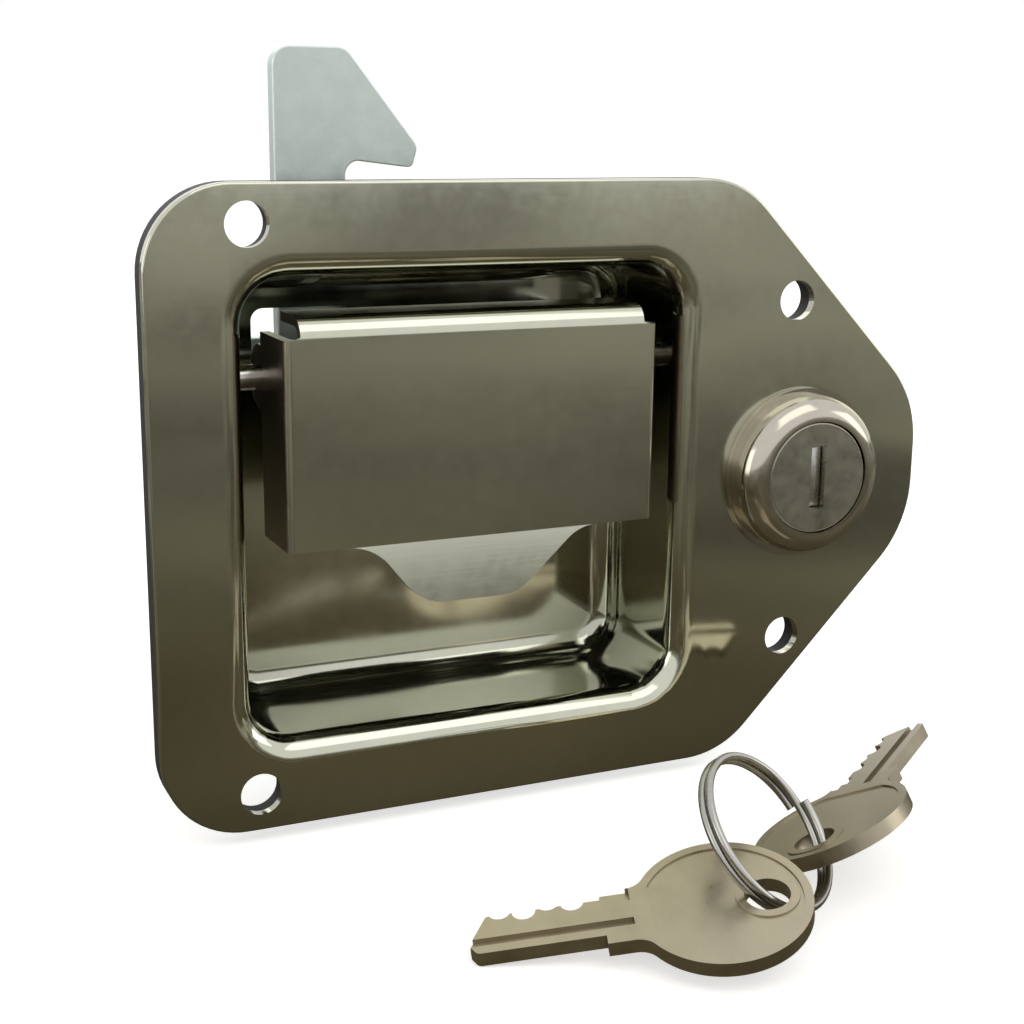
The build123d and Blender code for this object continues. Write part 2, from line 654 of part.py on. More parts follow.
def make_hook_spring():
    """Extension spring that pulls the tail down, so that the hook swings shut."""
    half = HOOK_WIRE / 2
    loop_r = POST_DIAMETER / 2 + half + GAP / 2
    pitch = HOOK_WIRE * WOUND
    bottom, top = POST_Z + loop_r, PIVOT_Z - loop_r
    coils = int((top - bottom - 3 * HOOK_WIRE) / pitch)
    first = (bottom + top - coils * pitch) / 2
    spring = Pos(SPRING_X, SPRING_Y, first) * coil(HOOK_COIL_R, HOOK_WIRE, coils, pitch)
    for peg, edge, end in ((POST_Z, bottom, first), (PIVOT_Z, top, first + coils * pitch)):
        loop = Pos(SPRING_X, SPRING_Y, peg) * Rot(90, 0, 0) * Torus(loop_r, half)
        # the wire crosses from the loop to the winding's rim
        rim = (SPRING_X + HOOK_COIL_R, SPRING_Y, end)
        spring += loop + rod((SPRING_X, SPRING_Y, edge), rim, HOOK_WIRE)
        spring += Pos(*rim) * Sphere(half + TINY)
    return spring


# --- lock -------------------------------------------------------------------------------
def make_lock_housing():
    """Die-cast collar with a domed ring, and a body with two flats behind the plate."""
    outer = COLLAR_DIAMETER / 2
    dome = outer - COLLAR_STEP
    mouth = PLUG_FACE / 2 + 2 * RUN
    base = round_bar(COLLAR_DIAMETER, FRONT - COLLAR_BASE, FRONT, LOCK_X, 0)
    ring = round_bar(2 * dome, COLLAR_FRONT, FRONT - COLLAR_BASE, LOCK_X, 0)
    ring = fillet(ring.faces().sort_by(Axis.Y)[0].edges(), DOME_R)
    body = round_bar(BODY_DIAMETER, FRONT, BODY_BACK, LOCK_X, 0)
    flats = slab(Pos(LOCK_X, 0) * Rectangle(BODY_DIAMETER, BODY_FLAT), FRONT, BODY_BACK)
    body = base + ring + (body & flats)
    floor = COLLAR_FRONT + PLUG_HEAD + GAP
    body -= round_bar(2 * mouth, COLLAR_FRONT - PAST, floor, LOCK_X, 0)
    return body - round_bar(PLUG_CORE + 2 * RUN, COLLAR_FRONT, BODY_BACK + PAST, LOCK_X, 0)


def keyway():
    """Upright slot with a ward from each side, as an outline round the lock's axis."""
    slot = RectangleRounded(KEYWAY_WIDTH, KEYWAY_HEIGHT, KEYWAY_CORNER)
    ward = KEYWAY_WIDTH * WARD_REACH
    x = (KEYWAY_WIDTH - ward) / 2
    left = Pos(-x, KEYWAY_HEIGHT / 8) * Rectangle(ward, WARD_HEIGHT)
    right = Pos(x, -KEYWAY_HEIGHT / 6) * Rectangle(ward, WARD_HEIGHT)
    return Pos(LOCK_X, 0) * (slot - left - right)


def wafer_depths():
    start = COLLAR_FRONT + PLUG_HEAD + FIRST_WAFER
    return [start + WAFER_PITCH * i for i in range(WAFERS)]


def make_plug():
    """Turning plug with its face, keyway and wafer slots, and a square end for the cam."""
    face = round_bar(PLUG_FACE, COLLAR_FRONT + PLUG_SUNK, COLLAR_FRONT + PLUG_HEAD, LOCK_X, 0)
    face = fillet(face.faces().sort_by(Axis.Y)[0].edges(), EDGE)
    core = round_bar(PLUG_CORE, COLLAR_FRONT + PLUG_HEAD, CAM_FRONT, LOCK_X, 0)
    square = slab(Pos(LOCK_X, 0) * Rectangle(CAM_SQUARE, CAM_SQUARE), CAM_FRONT, CAM_BACK)
    plug = face + core + square
    plug -= slab(keyway(), COLLAR_FRONT - PAST, COLLAR_FRONT + KEYWAY_DEPTH)
    slot = Pos(LOCK_X, 0) * Rectangle(WAFER_WIDTH + 2 * WAFER_PLAY, PLUG_CORE + PAST)
    for y in wafer_depths():
        plug -= slab(slot, y, y + WAFER + WAFER_PLAY)
    drilled = CAM_BACK - SCREW_LENGTH - PAST
    return plug - round_bar(SCREW_DIAMETER, drilled, CAM_BACK + PAST, LOCK_X, 0)


def make_wafers():
    """Brass wafers in the plug, each with a window for the key at its own height."""
    wafers = []
    disc = Rectangle(WAFER_WIDTH, PLUG_CORE) & Circle(PLUG_CORE / 2 - RUN)
    for i, y in enumerate(wafer_depths()):
        lift = WAFER_LIFT * (i % 3 - 1)
        opening = Rectangle(KEYWAY_WIDTH + EDGE, KEYWAY_HEIGHT - 2 * PAST)
        plate = Pos(LOCK_X, 0) * (disc - Pos(0, lift) * opening)
        wafers.append(slab(plate, y + WAFER_PLAY / 2, y + WAFER_PLAY / 2 + WAFER))
    return Compound(children=wafers)


def make_lock_nut():
    """Hexagon nut that clamps the lock to the plate."""
    front = PLATE_BACK + LOCK_WASHER
    outline = RegularPolygon(NUT_FLATS / 2, 6, major_radius=False)
    nut = slab(Pos(LOCK_X, 0) * outline, front, front + NUT_HEIGHT)
    # the turned bevel takes off the corners at the back
    turned = round_bar(NUT_FLATS / cos(radians(30)), front, front + NUT_HEIGHT, LOCK_X, 0)
    turned = chamfer(turned.faces().sort_by(Axis.Y)[-1].edges(), NUT_HEIGHT / 3)
    bore = round_bar(BODY_DIAMETER, front - PAST, front + NUT_HEIGHT + PAST, LOCK_X, 0)
    return (nut & turned) - bore


def make_lock_washer():
    """Toothed washer under the lock nut."""
    outer = BODY_DIAMETER + 2 * WASHER_RING
    ring = hole(outer, LOCK_X, 0) - hole(BODY_DIAMETER + 2 * RUN, LOCK_X, 0)
    for notch in PolarLocations(outer / 2, WASHER_TEETH):
        ring -= Pos(LOCK_X, 0) * notch * Rectangle(*TOOTH_GAP)
    return slab(ring, PLATE_BACK, PLATE_BACK + LOCK_WASHER)


def make_cam():
    """Flat cam on the plug's square end, over the hook bolt's tail when locked."""
    arm = polygon(
        (-CAM_REACH, -CAM_WIDTH / 2, 3),
        (0, -CAM_WIDTH / 2),
        (0, CAM_WIDTH / 2),
        (-CAM_REACH, CAM_WIDTH / 2, 3),
    )
    outline = arm + Circle(CAM_EYE / 2)
    outline -= Rectangle(CAM_SQUARE, CAM_SQUARE)
    return slab(Pos(LOCK_X, 0) * outline, CAM_FRONT, CAM_BACK)


def make_cam_washer():
    return washer(SCREW_HEAD + 2, SCREW_DIAMETER, CAM_BACK, CAP_WASHER, LOCK_X, 0)


def make_cam_screw():
    """Pan-head screw in the end of the plug."""
    seat = CAM_BACK + CAP_WASHER
    top = seat + SCREW_HEAD_HEIGHT
    shank = round_bar(SCREW_DIAMETER, CAM_BACK - SCREW_LENGTH, seat, LOCK_X, 0)
    head = round_bar(SCREW_HEAD, seat, top, LOCK_X, 0)
    head = fillet(head.faces().sort_by(Axis.Y)[-1].edges(), SCREW_HEAD_HEIGHT / 2)
    long, wide, deep = CROSS_SLOT
    cross = Pos(LOCK_X, 0) * (Rectangle(long, wide) + Rectangle(wide, long))
    return shank + head - slab(cross, top - deep, top + PAST)


# --- keys and ring ----------------------------------------------------------------------
def key_outline():
    """Round head, shouldered neck and blade, with the hole's centre at the origin."""
    shoulder = KEY_TIP - BLADE_LENGTH
    neck, blade = KEY_NECK / 2, BLADE_WIDTH / 2
    head = Pos(KEY_HOLE_IN, 0) * Circle(KEY_HEAD / 2)
    shank = Pos(shoulder / 2, 0) * Rectangle(shoulder, KEY_NECK)
    body = head + shank
    joints = body.vertices().filter_by(
        lambda v: KEY_HEAD / 2 < v.X < shoulder - 1 and abs(v.Y) > neck - 0.1
    )
    body = fillet(joints, KEY_THROAT)
    return body + polygon(
        (shoulder - PAST, -blade),
        (KEY_TIP - 1, -blade, 0.8),
        (KEY_TIP, -blade / 2, 0.8),
        (KEY_TIP - TIP_SLANT, blade, 0.8),
        (shoulder - PAST, blade),
    )


def bitting():
    """Round-bottomed cuts along one edge of the blade."""
    start = KEY_TIP - BLADE_LENGTH + CUTS_FROM_STEP
    pitch = (KEY_TIP - CUTS_FROM_TIP - start) / len(BITTING)
    cuts = []
    for i, depth in enumerate(BITTING):
        middle = Pos(start + pitch * (i + 0.5), BLADE_WIDTH / 2 - depth + CUT_R)
        cuts.append(middle * Circle(CUT_R))
    return cuts


def make_key():
    """Flat key stamped from sheet, relieved inside a rim on both sides of the head."""
    outline = key_outline() - Circle(KEY_HOLE / 2)
    for cut in bitting():
        outline -= cut
    top = KEY_SHEET / 2
    key = Pos(0, 0, -top) * extrude(outline, amount=KEY_SHEET)
    panel = Pos(KEY_HOLE_IN, 0) * Circle(KEY_HEAD / 2 - KEY_RIM)
    panel -= Circle(KEY_HOLE / 2 + KEY_RIM)
    panel -= Pos(KEY_HOLE_IN + KEY_HEAD / 2, 0) * Rectangle(4 * KEY_RIM, KEY_HEAD)
    relief = Pos(0, 0, top - KEY_RELIEF) * extrude(panel, amount=PAST)
    for side in (0, 180):
        key -= Rot(side, 0, 0) * relief
    step = KEY_TIP - BLADE_LENGTH
    notch = Box(NOTCH_LENGTH, NOTCH_DEPTH, NOTCH_STEP)
    key -= Pos(step - NOTCH_LENGTH / 2, (KEY_NECK - NOTCH_DEPTH) / 2, top) * notch
    groove = Rectangle(BLADE_LENGTH + 2 * NOTCH_LENGTH, GROOVE_WIDTH)
    groove = Pos(KEY_TIP - BLADE_LENGTH / 2, -BLADE_WIDTH / 5) * groove
    return key - Pos(0, 0, top - BLADE_GROOVE) * extrude(groove, amount=PAST)


def place_key(key, place):
    hole_centre, heading, pitch, lean = place
    return Pos(*hole_centre) * Rot(0, 0, heading) * Rot(0, pitch, 0) * Rot(lean, 0, 0) * key


def make_split_ring():
    """Two turns of round wire lying side by side, through the holes of both keys."""
    pitch = RING_WIRE * WOUND
    path = Helix(pitch=pitch, height=2 * pitch, radius=RING_R)
    section = Plane(origin=path @ 0, z_dir=path % 0) * Circle(RING_WIRE / 2)
    ring = Pos(0, 0, -pitch) * sweep(section, path=path, is_frenet=True)
    lie = Pos(*RING_CENTRE) * Rot(0, 0, RING_HEADING) * Rot(90 - RING_LEAN, 0, 0)
    return lie * ring


# --- the pieces -------------------------------------------------------------------------
save("faceplate_pan", make_faceplate(), STEEL)
save("gasket", make_gasket(), BLACK)
save("paddle", make_paddle(), STEEL)
save("release_arm", make_release_arm(), ZINC)
save("hinge_pin", make_hinge_pin(), STEEL)
save("pin_clip", make_pin_clip(), ZINC)
save("paddle_spring", make_paddle_spring(), STEEL)
save("hook_bolt", make_hook_bolt(), ZINC)
save("pivot_stud", make_pivot_stud(), ZINC)
save("pivot_spacer", make_pivot_spacer(), ZINC)
save("pivot_washer", make_pivot_washer(), ZINC)
save("guide_stud", make_guide_stud(), ZINC)
save("spring_post", make_spring_post(), ZINC)
save("tail_peg", make_tail_peg(), ZINC)
save("hook_spring", make_hook_spring(), STEEL)
save("lock_housing", make_lock_housing(), CHROME)
save("lock_washer", make_lock_washer(), ZINC)
save("lock_nut", make_lock_nut(), ZINC)
save("lock_plug", make_plug(), CHROME)
save("lock_wafers", make_wafers(), BRASS)
save("lock_cam", make_cam(), ZINC)
save("cam_washer", make_cam_washer(), ZINC)
save("cam_screw", make_cam_screw(), ZINC)
key = make_key()
save("key_front", place_key(key, FRONT_KEY), CHROME)
save("key_rear", place_key(key, REAR_KEY), CHROME)
save("split_ring", make_split_ring(), STEEL)
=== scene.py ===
import bmesh
import bpy
import json
import math
from mathutils import Matrix, Vector


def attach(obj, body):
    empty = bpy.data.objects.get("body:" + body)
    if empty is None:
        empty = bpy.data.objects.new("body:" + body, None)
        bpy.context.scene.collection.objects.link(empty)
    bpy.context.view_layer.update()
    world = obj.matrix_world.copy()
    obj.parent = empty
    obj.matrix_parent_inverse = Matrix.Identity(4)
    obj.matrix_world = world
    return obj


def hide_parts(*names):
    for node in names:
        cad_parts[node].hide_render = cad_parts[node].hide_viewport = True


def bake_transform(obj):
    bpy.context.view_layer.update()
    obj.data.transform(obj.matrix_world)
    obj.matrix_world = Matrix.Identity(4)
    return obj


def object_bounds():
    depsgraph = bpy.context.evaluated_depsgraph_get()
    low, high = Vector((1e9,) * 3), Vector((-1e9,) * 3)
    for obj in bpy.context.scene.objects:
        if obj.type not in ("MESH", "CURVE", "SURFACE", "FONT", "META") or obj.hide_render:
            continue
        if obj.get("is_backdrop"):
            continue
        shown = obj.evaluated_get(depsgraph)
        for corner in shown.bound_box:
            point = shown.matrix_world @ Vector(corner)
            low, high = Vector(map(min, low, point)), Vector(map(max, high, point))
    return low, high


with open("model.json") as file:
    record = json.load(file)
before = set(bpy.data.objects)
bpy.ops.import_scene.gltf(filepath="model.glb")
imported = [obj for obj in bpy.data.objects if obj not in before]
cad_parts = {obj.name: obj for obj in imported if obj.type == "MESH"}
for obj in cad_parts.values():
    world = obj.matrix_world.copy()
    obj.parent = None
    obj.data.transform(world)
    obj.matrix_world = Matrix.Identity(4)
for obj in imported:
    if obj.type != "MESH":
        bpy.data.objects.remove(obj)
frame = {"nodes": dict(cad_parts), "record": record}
cad_low, cad_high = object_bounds()
nodes = frame["nodes"]
home = {node: body for body, held in frame["record"]["behaviour"]["bodies"].items() for node in held}

# --- studio ---------------------------------------------------------------------------
# White room with a pale floor just under the plate's lower edge and four soft lamps. A low
# bowl all round the latch glows in dark, patchy shades, and only glossy rays see it: painted
# reflections for the polished metal.
FLOOR_SIZE = 6.0
FLOOR_BELOW = 0.0004      # floor under the part's lowest point
FLOOR_GLOW = 0.58         # lifts the floor to white where it's looked at
WORLD_FILL = 0.58         # light that the room sheds on the part
SCREEN_X = 0.02           # middle of the bowl
SCREEN_ABOVE = 0.0002     # its bottom over the floor
SCREEN_RINGS = (0.001, 0.2, 0.45, 0.9)   # radii of its bottom, from a small hole outwards
SCREEN_FLARE = 0.01       # its wall leans outwards by this
SCREEN_TOP = 0.022
SCREEN_SIDES = 96
PATCH_SPAN = (0.35, 0.65)
PATCH_GLOW = (0.5, 1.42)  # darkest and brightest patch, as shares of the shade
SCREEN_SHADES = (
    # distance from the origin, colour
    (0.10, (0.085, 0.072, 0.045, 1)),
    (0.17, (0.15, 0.138, 0.10, 1)),
    (0.30, (0.22, 0.21, 0.165, 1)),
    (0.55, (0.27, 0.262, 0.215, 1)),
    (0.90, (0.30, 0.292, 0.252, 1)),
)
LAMPS = (
    # place, aimed at, width, height, brightness, colour
    ((0.22, -0.72, 1.05), (0.02, 0, 0), 1.0, 0.8, 0.95, (1.0, 0.985, 0.93)),
    ((0.85, -0.42, 0.12), (0.03, 0, 0), 0.42, 0.6, 1.25, (1.0, 0.98, 0.92)),
    ((-0.8, -0.10, 0.12), (0.0, 0, 0), 0.34, 0.6, 1.3, (1.0, 0.98, 0.93)),
    ((0.2, 0.9, 0.7), (0.02, 0, 0), 0.9, 0.6, 1.0, (1.0, 0.99, 0.95)),
)
LENS, SENSOR, NEAREST = 59.04, 36, 0.01
CAMERA_AT = (-0.1004, -0.2386, 0.0589)
CAMERA_RIGHT = (0.9111, -0.4122, 0.0095)
CAMERA_DOWN = (-0.0872, -0.215, -0.9727)
CAMERA_AHEAD = (0.403, 0.8854, -0.2318)

scene = bpy.context.scene
scene.view_settings.view_transform = "Standard"


def new_object(name, data):
    made = bpy.data.objects.new(name, data)
    scene.collection.objects.link(made)
    return made


def nodes_of(material):
    """Empties a material's or world's tree and returns it with its output."""
    material.use_nodes = True
    tree = material.node_tree
    tree.nodes.clear()
    is_world = isinstance(material, bpy.types.World)
    return tree, tree.nodes.new("ShaderNodeOutputWorld" if is_world else "ShaderNodeOutputMaterial")


def add(tree, kind, settings=None, **inputs):
    """New node with its settings and inputs; an input is a value or another node's output."""
    node = tree.nodes.new(kind)
    for key, value in (settings or {}).items():
        setattr(node, key, value)
    for key, value in inputs.items():
        numbered = key.startswith("in") and key[2:].isdigit()
        socket = node.inputs[int(key[2:]) if numbered else key.replace("_", " ")]
        if isinstance(value, bpy.types.NodeSocket):
            tree.links.new(value, socket)
        else:
            socket.default_value = value
    return node


def ranged(tree, value, span, reach):
    """Carries the span of a value over to another reach, and holds both ends."""
    return add(tree, "ShaderNodeMapRange", Value=value, From_Min=span[0], From_Max=span[1],
               To_Min=reach[0], To_Max=reach[1]).outputs[0]


def looked_at(tree):
    """1 for a ray that sees, mirrors or passes through to a surface, 0 for light it sheds."""
    rays = add(tree, "ShaderNodeLightPath")
    most = {"operation": "MAXIMUM"}
    seen = add(tree, "ShaderNodeMath", most, in0=rays.outputs["Is Camera Ray"],
               in1=rays.outputs["Is Glossy Ray"])
    return add(tree, "ShaderNodeMath", most, in0=seen.outputs[0],
               in1=rays.outputs["Is Transmission Ray"]).outputs[0]


world = bpy.data.worlds.new("studio_world")
scene.world = world
tree, out = nodes_of(world)
fill = add(tree, "ShaderNodeBackground", Color=(1.0, 0.985, 0.95, 1), Strength=WORLD_FILL)
white = add(tree, "ShaderNodeBackground", Color=(1, 1, 1, 1), Strength=1.0)
blend = add(tree, "ShaderNodeMixShader", in0=looked_at(tree), in1=fill.outputs[0], in2=white.outputs[0])
tree.links.new(blend.outputs[0], out.inputs["Surface"])

floor_z = cad_low[2] - FLOOR_BELOW
half = FLOOR_SIZE / 2
floor_mesh = bpy.data.meshes.new("floor")
floor_corners = [(x * half, y * half, floor_z) for x, y in ((-1, -1), (1, -1), (1, 1), (-1, 1))]
floor_mesh.from_pydata(floor_corners, [], [(0, 1, 2, 3)])
floor = new_object("floor", floor_mesh)
floor_paint = bpy.data.materials.new("floor_paint")
tree, out = nodes_of(floor_paint)
lift = add(tree, "ShaderNodeMath", {"operation": "MULTIPLY"}, in0=looked_at(tree), in1=FLOOR_GLOW)
matt = add(tree, "ShaderNodeBsdfDiffuse", Color=(0.93, 0.93, 0.92, 1))
glow = add(tree, "ShaderNodeEmission", Color=(1, 1, 1, 1), Strength=lift.outputs[0])
both = add(tree, "ShaderNodeAddShader", in0=matt.outputs[0], in1=glow.outputs[0])
tree.links.new(both.outputs[0], out.inputs["Surface"])
floor_mesh.materials.append(floor_paint)
floor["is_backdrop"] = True


def make_screen():
    """Shallow bowl: a disc just above the floor and an upright wall round it."""
    rings = [(radius, floor_z + SCREEN_ABOVE) for radius in SCREEN_RINGS]
    rings.append((SCREEN_RINGS[-1] + SCREEN_FLARE, SCREEN_TOP))
    points, faces = [], []
    for radius, z in rings:
        for i in range(SCREEN_SIDES):
            a = math.tau * i / SCREEN_SIDES
            points.append((SCREEN_X + radius * math.cos(a), radius * math.sin(a), z))
    for inner in range(0, len(points) - SCREEN_SIDES, SCREEN_SIDES):
        outer = inner + SCREEN_SIDES
        for i in range(SCREEN_SIDES):
            j = (i + 1) % SCREEN_SIDES
            faces.append((inner + i, inner + j, outer + j, outer + i))
    mesh = bpy.data.meshes.new("dark_screen")
    mesh.from_pydata(points, [], faces)
    return mesh


screen = new_object("dark_screen", make_screen())
# The bowl glows and sheds no light; the metal mirrors it as painted dark reflections.
reflection_glow = bpy.data.materials.new("screen_reflection_glow")
tree, out = nodes_of(reflection_glow)
place = add(tree, "ShaderNodeTexCoord").outputs["Object"]
distance = add(tree, "ShaderNodeVectorMath", {"operation": "LENGTH"}, in0=place)
shade = add(tree, "ShaderNodeValToRGB", in0=distance.outputs["Value"])
shades = shade.color_ramp.elements
shades[0].position, shades[0].color = SCREEN_SHADES[0]
shades[1].position, shades[1].color = SCREEN_SHADES[-1]
for at, colour in SCREEN_SHADES[1:-1]:
    shades.new(at).color = colour
patches = add(tree, "ShaderNodeTexNoise", Vector=place, Scale=5.0, Detail=2.0, Distortion=0.6)
uneven = ranged(tree, patches.outputs[0], PATCH_SPAN, PATCH_GLOW)
glow = add(tree, "ShaderNodeEmission", Color=shade.outputs[0], Strength=uneven)
tree.links.new(glow.outputs[0], out.inputs["Surface"])
screen.data.materials.append(reflection_glow)
for way in ("visible_camera", "visible_diffuse", "visible_shadow", "visible_transmission"):
    setattr(screen, way, False)
screen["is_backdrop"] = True

for number, (at, aim, wide, high, bright, colour) in enumerate(LAMPS):
    lamp = bpy.data.lights.new(f"softbox_{number}", "AREA")
    lamp.shape, lamp.size, lamp.size_y, lamp.color = "RECTANGLE", wide, high, colour
    lamp.energy = bright * math.pi * wide * high
    holder = new_object(lamp.name, lamp)
    holder.location = at
    holder.rotation_euler = (Vector(aim) - Vector(at)).to_track_quat("-Z", "Y").to_euler()

eye = bpy.data.cameras.new("eye")
eye.lens, eye.sensor_width, eye.clip_start = LENS, SENSOR, NEAREST
camera = new_object("eye", eye)
turn = Matrix([(right, -down, -ahead)
               for right, down, ahead in zip(CAMERA_RIGHT, CAMERA_DOWN, CAMERA_AHEAD)])
camera.matrix_world = Matrix.Translation(CAMERA_AT) @ turn.to_quaternion().to_matrix().to_4x4()
scene.camera = camera

# --- faceplate and recess -------------------------------------------------------------
# Drawn in one stroke from stainless sheet and buffed to a mirror. The sheet keeps a slight
# wave from the press, fine buffing lines and a few dull finger marks.
STAINLESS = (0.60, 0.604, 0.50)
TONE_SPAN = (0.3, 0.7)         # part of a noise's range that changes the colour
SHINE_SPAN = (0.42, 0.72)      # part of it that dulls the shine in patches
FLICKER_SPAN = (0.25, 0.75)    # part of it that varies the shine finely
FLICKER = 0.25                 # fine change of roughness, as a share of it
SAME_POINT = 3e-6              # corners closer than this are one
NO_LENGTH = 1e-7               # edges shorter than this go
FLAT_COUNTS = 60               # how much the large faces count in the blended normals


def metal(name, colour, rough, mottle=0.08, wave=0.0, wave_scale=34.0, lines=0.0,
          lines_along=(1, 1, 1), lines_scale=1400.0, grain=0.0, grain_scale=2500.0,
          smudge=0.0, smudge_scale=26.0, hollow_darkening=None):
    """Metal with mottled colour, uneven shine, pressed waves, drawn lines and grain.

    wave, lines and grain are depths in metres. The last setting darkens the colour where the
    surface is hemmed in. It says how far round a hollow is felt, how open a spot must be to keep
    its full colour, and how much of its colour the deepest spot keeps.
    """
    material = bpy.data.materials.new(name)
    tree, out = nodes_of(material)
    place = add(tree, "ShaderNodeTexCoord").outputs["Object"]
    shader = add(tree, "ShaderNodeBsdfPrincipled", Metallic=1.0)
    tree.links.new(shader.outputs[0], out.inputs["Surface"])

    patch = add(tree, "ShaderNodeTexNoise", Vector=place, Scale=smudge_scale, Detail=4.0, Roughness=0.6)
    fine = add(tree, "ShaderNodeTexNoise", Vector=place, Scale=grain_scale / 6, Detail=5.0, Roughness=0.65)
    tone = ranged(tree, patch.outputs[0], TONE_SPAN, (1 - mottle, 1.0))
    speck = ranged(tree, fine.outputs[0], TONE_SPAN, (1 - mottle, 1.0))
    both = add(tree, "ShaderNodeMath", {"operation": "MULTIPLY"}, in0=tone, in1=speck)
    paint = add(tree, "ShaderNodeVectorMath", {"operation": "SCALE"}, in0=colour, Scale=both.outputs[0])
    # darkens the colour where the surface is hemmed in, by how open each spot is; on the faceplate this is
    # painted shade
    if hollow_darkening:
        felt_from, full_colour_from, deepest = hollow_darkening
        hollow = add(tree, "ShaderNodeAmbientOcclusion", {"samples": 4}, Distance=felt_from)
        hollow_tone = ranged(tree, hollow.outputs["AO"], (0.0, full_colour_from), (deepest, 1.0))
        paint = add(tree, "ShaderNodeVectorMath", {"operation": "SCALE"}, in0=paint.outputs[0], Scale=hollow_tone)
    tree.links.new(paint.outputs[0], shader.inputs["Base Color"])

    dulled = ranged(tree, patch.outputs[0], SHINE_SPAN, (rough, rough + smudge))
    varied = ranged(tree, fine.outputs[0], FLICKER_SPAN, (-FLICKER * rough, FLICKER * rough))
    total = add(tree, "ShaderNodeMath", {"operation": "ADD", "use_clamp": True}, in0=dulled, in1=varied)
    tree.links.new(total.outputs[0], shader.inputs["Roughness"])

    relief = []
    if wave:
        swell = add(tree, "ShaderNodeTexNoise", Vector=place, Scale=wave_scale, Detail=1.5, Roughness=0.45)
        relief.append((swell, wave))
    if lines:
        along = add(tree, "ShaderNodeMapping", Vector=place, Scale=[lines_scale * s for s in lines_along])
        drawn = add(tree, "ShaderNodeTexNoise", Vector=along.outputs[0], Scale=1.0, Detail=3.0, Roughness=0.6)
        relief.append((drawn, lines))
    if grain:
        rubbed = add(tree, "ShaderNodeTexNoise", Vector=place, Scale=grain_scale, Detail=3.0, Roughness=0.6)
        relief.append((rubbed, grain))
    normal = None
    for height, deep in relief:
        bump = add(tree, "ShaderNodeBump", Height=height.outputs[0], Distance=deep, Strength=1.0)
        if normal:
            tree.links.new(normal, bump.inputs["Normal"])
        normal = bump.outputs[0]
    if normal:
        tree.links.new(normal, shader.inputs["Normal"])
    return material


def smoothed(node, material, sharp=24, reshape=None, mirrored=False, cut=None):
    """Copy of a node with its facets merged and its normals blended, so that its rounds shine.

    Edges from the sharp angle in degrees stay crisp. reshape moves each corner, mirrored turns
    the faces the right way out after it, and cut is an object taken away from the copy.
    """
    bm = bmesh.new()
    bm.from_mesh(nodes[node].data)
    bmesh.ops.remove_doubles(bm, verts=bm.verts, dist=SAME_POINT)
    bmesh.ops.dissolve_degenerate(bm, edges=bm.edges, dist=NO_LENGTH)
    bm.verts.index_update()
    mesh = bpy.data.meshes.new(f"{node}_skin")
    corners = [reshape(v.co) if reshape else v.co[:] for v in bm.verts]
    faces = [[v.index for v in f.verts][::-1 if mirrored else 1] for f in bm.faces]
    mesh.from_pydata(corners, [], faces)
    bm.free()
    mesh.materials.append(material)
    mesh.shade_smooth()
    mesh.set_sharp_from_angle(angle=math.radians(sharp))
    piece = new_object(mesh.name, mesh)
    if cut:
        cutting = piece.modifiers.new("cut", "BOOLEAN")
        cutting.operation, cutting.solver, cutting.object = "DIFFERENCE", "EXACT", cut
    weigh = piece.modifiers.new("weigh", "WEIGHTED_NORMAL")
    weigh.mode, weigh.keep_sharp, weigh.weight = "FACE_AREA", True, FLAT_COUNTS
    bpy.context.view_layer.update()
    done = bpy.data.meshes.new_from_object(piece.evaluated_get(bpy.context.evaluated_depsgraph_get()))
    piece.modifiers.clear()
    piece.data = done
    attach(piece, home[node])
    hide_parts(node)
    return piece


def dress(node, material):
    """Gives a CAD node its finish."""
    held = nodes[node].data.materials
    held.clear()
    held.append(material)


# Its colour is darkened in the recess and round the lock's collar by how hemmed in each spot is: painted
# shade.
mirror_sheet = metal("mirror_sheet", STAINLESS, 0.085, mottle=0.05, wave=0.00006, wave_scale=30,
                     lines=0.0000012, lines_along=(0.05, 1, 1), lines_scale=1600,
                     smudge=0.08, smudge_scale=30, hollow_darkening=(0.024, 0.7, 0.2))
smoothed("faceplate_pan", mirror_sheet)

# --- gasket ---------------------------------------------------------------------------
# Black sheet rubber, punched to the plate's outline. Its cut edge is matt and a little
# porous, and it shows as a dark line behind the plate.
RUBBER_TONES = (0.010, 0.028)
PORE_DEPTH = 0.00005
rubber = bpy.data.materials.new("sheet_rubber")
tree, out = nodes_of(rubber)
place = add(tree, "ShaderNodeTexCoord").outputs["Object"]
pores = add(tree, "ShaderNodeTexNoise", Vector=place, Scale=900.0, Detail=4.0, Roughness=0.7).outputs[0]
skin = add(tree, "ShaderNodeBsdfPrincipled", Roughness=0.62)
tree.links.new(ranged(tree, pores, TONE_SPAN, RUBBER_TONES), skin.inputs["Base Color"])
dent = add(tree, "ShaderNodeBump", Height=pores, Distance=PORE_DEPTH)
tree.links.new(dent.outputs[0], skin.inputs["Normal"])
tree.links.new(skin.outputs[0], out.inputs["Surface"])
dress("gasket", rubber)

# --- paddle ---------------------------------------------------------------------------
# Bent from the same stainless sheet: a front with bent sides and a rolled top, and a finger
# tab leaning outwards at the bottom. The buffing runs across it, and its sides are duller,
# with a darker, browner colour that is painted shade.
FRONT_HALF, FRONT_Y = 0.03075, -0.0058     # half the front's width, and its face
SOLID_BEND, PRESSED_BEND = 0.0025, 0.0012  # outside radius in the solid, and as pressed
ON_BEND = 2e-5                             # a corner this close to the arc lies on it
HAIR = 1e-6
SIDEWAYS = 0.8                             # a side's normal points this much along X
paddle_sheet = metal("paddle_sheet", STAINLESS, 0.105, mottle=0.05, wave=0.00005, wave_scale=26,
                     lines=0.0000016, lines_along=(0.04, 1, 1), lines_scale=1500,
                     smudge=0.07, smudge_scale=34)
